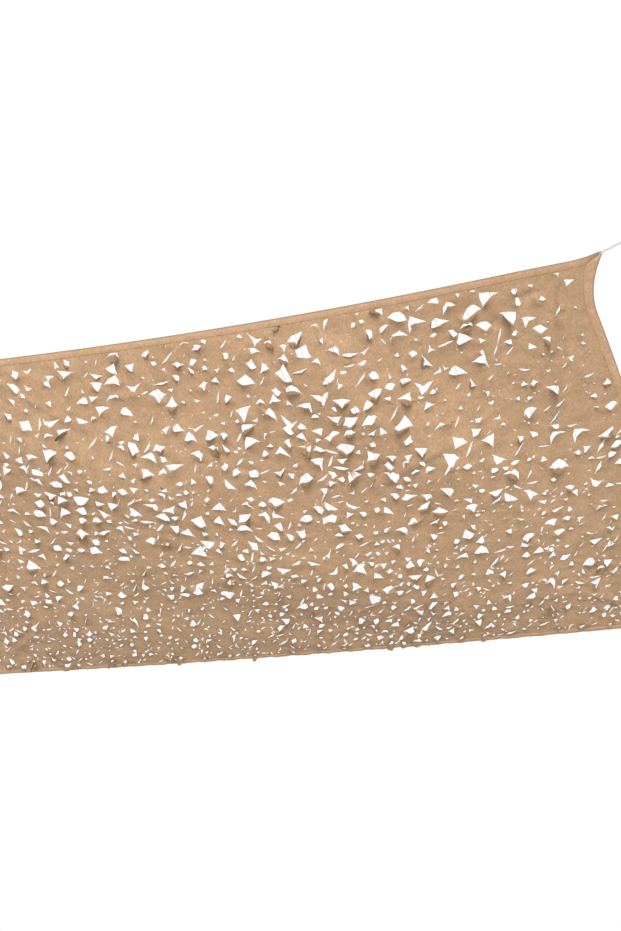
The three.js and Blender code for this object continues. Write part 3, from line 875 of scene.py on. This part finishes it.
upper = number[rims[has_tongue][:, HINGE]]
tongue_points = []
for n, (share, width) in enumerate(TONGUE_ROWS):
    tongue_points.append(tongue_row(share, width).reshape(-1, 3))
    lower = len(laid) + upper.size * n + np.arange(upper.size).reshape(upper.shape)
    for k in range(upper.shape[1] - 1):
        strip = [upper[:, k], upper[:, k + 1], lower[:, k + 1], lower[:, k]]
        cloth_faces += np.stack(strip, axis=1).tolist()
    upper = lower
leaves = np.concatenate(tongue_points)
cloth_points = hung(
    np.concatenate([laid[:, 0], leaves[:, 0]]),
    np.concatenate([laid[:, 1], leaves[:, 1]]),
    np.concatenate([lift, leaves[:, 2]]),
)
# Tips that would hang too low are gathered just above the lowest place
spare = cloth_points[:, 2] - LOWEST - LOW_ROOM
gathered = LOWEST + LOW_ROOM * np.exp(np.minimum(spare, 0) / LOW_ROOM)
cloth_points[:, 2] = np.where(spare < 0, gathered, cloth_points[:, 2])

# Painted shade darkens the hollows and, at random, the cut rims, both most at the far edge
hollow *= HOLLOW_SHADE + HOLLOW_SHADE_FAR * np.clip(laid[:, 1] / half_t, 0, 1)
rim_number = number[: rims.size]
rim_shade = RIM_SHADE_FAR * np.clip(flat[: rims.size, 1] / half_t, 0, 1)
rim_shade *= chance(np.arange(rims.size), 0, RIM_SHADE_DRAW)
np.maximum.at(hollow, rim_number[rim_number >= 0], rim_shade[rim_number >= 0])
# Hanging tongues carry an even painted shade
drooped = np.concatenate([hollow, np.full(len(leaves), TONGUE_SHADE)])
used = np.unique(np.concatenate([np.asarray(face) for face in cloth_faces]))
renumber = np.zeros(len(cloth_points), int)
renumber[used] = np.arange(len(used))
cloth_faces = [renumber[face].tolist() for face in cloth_faces]
cloth_points, drooped = cloth_points[used], drooped[used]

SAND_DEEP = (0.335, 0.214, 0.121, 1)
SAND_PALE = (0.421, 0.277, 0.160, 1)
GRAIN_DEEP = (0.87, 0.87, 0.86, 1)
GRAIN_PALE = (1.14, 1.135, 1.13, 1)
TINT_OLIVE = (0.95, 0.99, 0.92, 1)
TINT_WARM = (1.12, 1.01, 1.06, 1)
THREAD_LEAN = math.radians(112)
THREAD_STRETCH = 2.2
# The dark olive that painted shade mixes into the cloth
PAINTED_SHADE_OLIVE = (0.115, 0.070, 0.032, 1)
CRISP_ANGLE = math.radians(40)


def woven_colour(add, place, deep, pale):
    """The sand cloth's own colour: broad patches, fine slanting threads and warm or olive flecks."""

    def shade(noise, least, most, dark, pale):
        share = add(
            "ShaderNodeMapRange", {"Value": noise.outputs["Fac"], "From Min": least, "From Max": most}
        ).outputs["Result"]
        return add("ShaderNodeMix", {"Factor": share, "A": dark, "B": pale}, data_type="RGBA")

    def times(tone, by):
        return add(
            "ShaderNodeMix",
            {"Factor": 1.0, "A": tone.outputs["Result"], "B": by.outputs["Result"]},
            data_type="RGBA",
            blend_type="MULTIPLY",
        )

    patches = add("ShaderNodeTexNoise", {"Vector": place, "Scale": 16.0, "Detail": 6.0, "Roughness": 0.68})
    threads = add(
        "ShaderNodeMapping",
        {"Vector": place, "Rotation": (0, 0, THREAD_LEAN), "Scale": (THREAD_STRETCH, 1, 1)},
        vector_type="TEXTURE",
    )
    grain = add(
        "ShaderNodeTexNoise",
        {"Vector": threads.outputs["Vector"], "Scale": 150.0, "Detail": 3.0, "Distortion": 0.5},
    )
    flecks = add("ShaderNodeTexNoise", {"Vector": place, "Scale": 42.0, "Detail": 4.0, "Distortion": 1.4})
    tone = shade(patches, 0.30, 0.70, deep, pale)
    tone = times(tone, shade(grain, 0.34, 0.66, GRAIN_DEEP, GRAIN_PALE))
    return times(tone, shade(flecks, 0.36, 0.64, TINT_OLIVE, TINT_WARM)).outputs["Result"]


cloth_finish, add, wire = new_finish("leaf_cut_cloth", 0.9)
cloth_place = add("ShaderNodeTexCoord")
cloth_colour = woven_colour(add, cloth_place.outputs["Object"], SAND_DEEP, SAND_PALE)
# Painted shade: a point attribute mixes the cloth towards dark olive in leaf hollows, crease troughs, far cut
# rims and on tongues
cloth_painted_shade = add("ShaderNodeAttribute", attribute_name="drooped")
cloth_with_painted_shade = add(
    "ShaderNodeMix",
    {"Factor": cloth_painted_shade.outputs["Fac"], "A": cloth_colour, "B": PAINTED_SHADE_OLIVE},
    data_type="RGBA",
)
wire(cloth_with_painted_shade.outputs["Result"], "Base Color")
weft, warp = (
    add(
        "ShaderNodeTexWave",
        {"Vector": cloth_place.outputs["Object"], "Scale": 190.0, "Distortion": 0.6, "Detail": 1.0},
        bands_direction=way,
    )
    for way in ("X", "Y")
)
weave = add("ShaderNodeMath", {0: weft.outputs["Fac"], 1: warp.outputs["Fac"]}, operation="MULTIPLY")
weave_bump = add("ShaderNodeBump", {"Height": weave.outputs["Value"], "Strength": 0.25, "Distance": 0.0004})
wire(weave_bump.outputs["Normal"], "Normal")

cloth = add_piece("leaf_cut_cloth", cloth_points, cloth_faces, cloth_finish)
cloth.data.attributes.new("drooped", "FLOAT", "POINT").data.foreach_set("value", drooped)


def sharpen(made, angle):
    """Keeps folds tighter than the angle, and cut edges, crisp in the shading."""
    mesh = made.data
    mesh.set_sharp_from_angle(angle=angle)
    edge_of = np.zeros(len(mesh.loops), int)
    mesh.loops.foreach_get("edge_index", edge_of)
    sharp = np.zeros(len(mesh.edges), bool)
    mesh.edges.foreach_get("use_edge_sharp", sharp)
    sharp |= np.bincount(edge_of, minlength=len(sharp)) == 1
    mesh.edges.foreach_set("use_edge_sharp", sharp)


sharpen(cloth, CRISP_ANGLE)
thickness = cloth.modifiers.new("cloth thickness", "SOLIDIFY")
thickness.thickness = CLOTH_THICK
thickness.offset = 0
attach(cloth, "root")
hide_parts("net")

# Edge bindings
# A tape of the same woven cloth is folded over each edge, mitred at the corners and sewn
# through with one row of stitches near its inner edge. The near and right tapes are painted
# paler, as painted light, and every tape is darkened along its fold with painted shade.
MITRE_OVERLAP = 0.0006
TIP_CUT_LONG = 0.0080
TIP_CUT_SHORT = 0.014
BINDING_STEP = 0.020
BINDING_END = 0.002
TAPE_PUCKER = 0.14
TAPE_DRAW = 31
BINDING_SECTION = [
    (0.0360, -0.0011), (0.0352, -0.0018), (0.0330, -0.0023), (0.0310, -0.0022), (0.0290, -0.0026),
    (0.0180, -0.0031), (0.0070, -0.0030), (0.0025, -0.0025), (0.0006, -0.0014), (0.0000, 0.0000),
]
BINDING_SECTION += [(inset, -height) for inset, height in BINDING_SECTION[-2::-1]]

# Paler tones of the near and right tapes, as painted light
LIT_TAPE_DEEP = (0.391, 0.249, 0.145, 1)
LIT_TAPE_PALE = (0.456, 0.296, 0.176, 1)
# Brown painted shade along each tape's fold, fading over FOLD_REACH
FOLD_SHADE_BROWN = (0.160, 0.105, 0.065, 1)
FOLD_REACH = 0.005
EDGES = ("near", "right", "far", "left")


def tape_finish(name, deep, pale):
    finish, add, wire = new_finish(name, 0.9)
    place = add("ShaderNodeTexCoord").outputs["Object"]
    colour = woven_colour(add, place, deep, pale)
    # Painted shade darkens the tape along its fold
    folded = add("ShaderNodeAttribute", attribute_name="folded").outputs["Fac"]
    fold_shaded = add("ShaderNodeMix", {"Factor": folded, "A": colour, "B": FOLD_SHADE_BROWN}, data_type="RGBA")
    wire(fold_shaded.outputs["Result"], "Base Color")
    rib = add(
        "ShaderNodeTexWave",
        {"Vector": place, "Scale": 150.0, "Distortion": 0.4},
        bands_direction="DIAGONAL",
    )
    bump = add("ShaderNodeBump", {"Height": rib.outputs["Fac"], "Strength": 0.3, "Distance": 0.0005})
    wire(bump.outputs["Normal"], "Normal")
    return finish


bleached_tape = tape_finish("bleached_tape", LIT_TAPE_DEEP, LIT_TAPE_PALE)
shaded_tape = tape_finish("shaded_tape", SAND_DEEP, SAND_PALE)


def on_edge(edge, run, inset, height):
    """A point of a binding: along its edge, in from it, and above the cloth."""
    if edge in ("near", "far"):
        way = 1 if edge == "near" else -1
        return hung(way * run, way * (inset - SAIL_DEPTH / 2), height)
    way = 1 if edge == "right" else -1
    return hung(way * (SAIL_LENGTH / 2 - inset), way * run, height)


def edge_facts(edge):
    """An edge's length, and how far its tape and its neighbour's are cut back at the tip."""
    if edge in ("near", "far"):
        return SAIL_LENGTH, TIP_CUT_LONG, TIP_CUT_SHORT
    return SAIL_DEPTH, TIP_CUT_SHORT, TIP_CUT_LONG


for edge_number, edge in enumerate(EDGES):
    length, own_cut, other_cut = edge_facts(edge)
    inset, height = np.array(BINDING_SECTION).T
    end = length / 2 - np.maximum(inset, own_cut * (1 - inset / other_cut)) + MITRE_OVERLAP / 2
    steps = int((length - 2 * FIELD_INSET) / BINDING_STEP)
    last_run = length / 2 - FIELD_INSET - BINDING_END
    runs = np.linspace(-last_run, last_run, steps)
    pucker = 1 + TAPE_PUCKER * (chance(np.arange(steps), edge_number, TAPE_DRAW) - 0.5)[:, None]
    rings = [on_edge(edge, -end, inset, height)]
    rings += list(on_edge(edge, runs[:, None], inset[None], height[None] * pucker))
    rings.append(on_edge(edge, end, inset, height))
    count = len(BINDING_SECTION)
    grid = np.arange(len(rings) * count).reshape(len(rings), count)
    ahead = np.roll(grid, -1, axis=1)
    binding_faces = np.stack([grid[:-1], grid[1:], ahead[1:], ahead[:-1]], axis=-1)
    binding_faces = binding_faces.reshape(-1, 4).tolist()
    binding_faces += [grid[0].tolist(), grid[-1, ::-1].tolist()]
    # The near and right tapes get the paler finish, as painted light
    finish = bleached_tape if edge in ("near", "right") else shaded_tape
    binding = add_piece(f"binding_tape_{edge}", np.concatenate(rings), binding_faces, finish)
    # Painted shade is strongest at the fold and gone FOLD_REACH in from it
    folded = np.tile(np.clip(1 - inset / FOLD_REACH, 0, 1), len(rings))
    binding.data.attributes.new("folded", "FLOAT", "POINT").data.foreach_set("value", folded)
    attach(binding, "root")
    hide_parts(f"binding_{edge}")

# Stitching
# One row of lockstitch in sand thread runs round the sail on both faces, sunk into the tape
# five millimetres from its inner edge.
STITCH_INSET = 0.031
STITCH_PITCH = 0.0075
STITCH_LONG = 0.0054
STITCH_WIDE = 0.0011
STITCH_HEIGHT = 0.0023
STITCH_END = 0.05
THREAD = (0.45, 0.31, 0.20, 1)
THREAD_SHADE = (0.34, 0.23, 0.14, 1)



def mottled_finish(name, roughness, scale, dark, pale):
    """A finish that wanders between two tones."""
    finish, add, wire = new_finish(name, roughness)
    place = add("ShaderNodeTexCoord").outputs["Object"]
    mottle = add("ShaderNodeTexNoise", {"Vector": place, "Scale": scale, "Detail": 2.0}).outputs["Fac"]
    tone = add("ShaderNodeMix", {"Factor": mottle, "A": dark, "B": pale}, data_type="RGBA")
    wire(tone.outputs["Result"], "Base Color")
    return finish


thread_finish = mottled_finish("sewing_thread", 0.7, 700.0, THREAD_SHADE, THREAD)
stitch_points, stitch_faces = [], []
SPINDLE = [(-0.5, 0, 0), (0, 0.5, 0), (0, 0, 0.5), (0, -0.5, 0), (0, 0, -0.5), (0.5, 0, 0)]
SPINDLE_FACES = [
    (0, 2, 1), (0, 3, 2), (0, 4, 3), (0, 1, 4), (5, 1, 2), (5, 2, 3), (5, 3, 4), (5, 4, 1),
]
for edge in EDGES:
    length = edge_facts(edge)[0]
    runs = np.arange(-length / 2 + STITCH_END, length / 2 - STITCH_END, STITCH_PITCH)
    for face in (-1, 1):
        for along, aside, up in SPINDLE:
            stitch_points.append(on_edge(
                edge,
                runs + along * STITCH_LONG,
                STITCH_INSET + aside * STITCH_WIDE,
                face * STITCH_HEIGHT + up * STITCH_WIDE,
            ))
        first = sum(len(p) for p in stitch_points[: -len(SPINDLE)])
        for a, b, c in SPINDLE_FACES:
            trio = np.stack([np.arange(len(runs)) + first + k * len(runs) for k in (a, b, c)], axis=-1)
            stitch_faces += trio.tolist()
stitching = add_piece("hem_stitching", np.concatenate(stitch_points), stitch_faces, thread_finish)
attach(stitching, "root")

# Support strings
# A wide mesh of thin pale string lies on the upper side and carries the cut cloth. It shows
# through the larger openings.
STRING_THICK = 0.0020
STRING_PITCH = 0.118
STRING_LIFT = 0.011
STRING_STEP = 0.040
STRING_RISE = 0.06
STRING_WANDER = 0.012
STRING_PALE = (0.56, 0.61, 0.70, 1)
STRING_SHADE = (0.42, 0.46, 0.54, 1)

string_finish = mottled_finish("support_string", 0.6, 500.0, STRING_SHADE, STRING_PALE)
string_points, string_faces = [], []


def add_string(line, aside):
    """A thin four-sided string along a line of points."""
    up = np.array((0.0, 0.0, STRING_THICK / 2))
    first = sum(len(p) for p in string_points)
    ring = np.stack([line + aside, line + up, line - aside, line - up], axis=1)
    string_points.append(ring.reshape(-1, 3))
    grid = first + np.arange(len(line) * 4).reshape(-1, 4)
    ahead = np.roll(grid, -1, axis=1)
    sides = np.stack([grid[:-1], ahead[:-1], ahead[1:], grid[1:]], axis=-1)
    string_faces.extend(sides.reshape(-1, 4).tolist())
    string_faces.extend([grid[0].tolist(), grid[-1, ::-1].tolist()])


def string_lift(s, t):
    """Strings rise off the cloth between the bindings that hold their ends."""
    from_edge = np.minimum(edge_s - np.abs(s), edge_t - np.abs(t))
    return STRING_LIFT * np.clip(from_edge / STRING_RISE, 0, 1)


for n, t in enumerate(np.arange(-edge_t + STRING_PITCH / 2, edge_t, STRING_PITCH)):
    s = np.linspace(-edge_s, edge_s, int(2 * edge_s / STRING_STEP))
    wander = t + STRING_WANDER * np.sin(s * 2.3 + n * 1.7)
    add_string(hung(s, wander, string_lift(s, wander)), np.array((0.0, STRING_THICK / 2, 0.0)))
for n, s in enumerate(np.arange(-edge_s + STRING_PITCH / 2, edge_s, STRING_PITCH)):
    t = np.linspace(-edge_t, edge_t, int(2 * edge_t / STRING_STEP))
    wander = s + STRING_WANDER * np.sin(t * 2.9 + n * 2.3)
    add_string(hung(wander, t, string_lift(wander, t)), np.array((STRING_THICK / 2, 0.0, 0.0)))
strings = add_piece("support_strings", np.concatenate(string_points), string_faces, string_finish)
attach(strings, "root")

# Studio
# A pale floor lies under the sail, a white sky surrounds it, and one wide soft light shines
# evenly from far in front of the near edge and from below it, past a floor that casts no shadow.
FLOOR_LEVEL = -4.25
FLOOR_HALF = 30.0
FLOOR_PALE = (0.78, 0.78, 0.77, 1)
FLOOR_SHADE = (0.72, 0.72, 0.71, 1)

floor_finish = mottled_finish("pale_floor", 0.8, 1.2, FLOOR_SHADE, FLOOR_PALE)
floor_corners = [
    (x * FLOOR_HALF, y * FLOOR_HALF, FLOOR_LEVEL) for x, y in ((-1, -1), (1, -1), (1, 1), (-1, 1))
]
floor = add_piece("floor", floor_corners, [(0, 1, 2, 3)], floor_finish, smooth=False)
floor.visible_shadow = False

sky = bpy.data.worlds.new("white_sky")
sky.use_nodes = True
sky.node_tree.nodes["Background"].inputs["Color"].default_value = (1, 1, 1, 1)
sky.node_tree.nodes["Background"].inputs["Strength"].default_value = 1.0
bpy.context.scene.world = sky

SOFT_LIGHT_FROM = Vector((0.25, -1.0, -0.42))
SOFT_LIGHT_WIDTH = math.radians(20)
SOFT_LIGHT_POWER = 4.15
soft_lamp = bpy.data.lights.new("soft_light", "SUN")
soft_lamp.angle = SOFT_LIGHT_WIDTH
soft_lamp.energy = SOFT_LIGHT_POWER
soft_light = bpy.data.objects.new("soft_light", soft_lamp)
soft_light.rotation_euler = (-SOFT_LIGHT_FROM).to_track_quat("-Z", "Y").to_euler()
bpy.context.collection.objects.link(soft_light)

bpy.context.scene.view_settings.view_transform = "Standard"
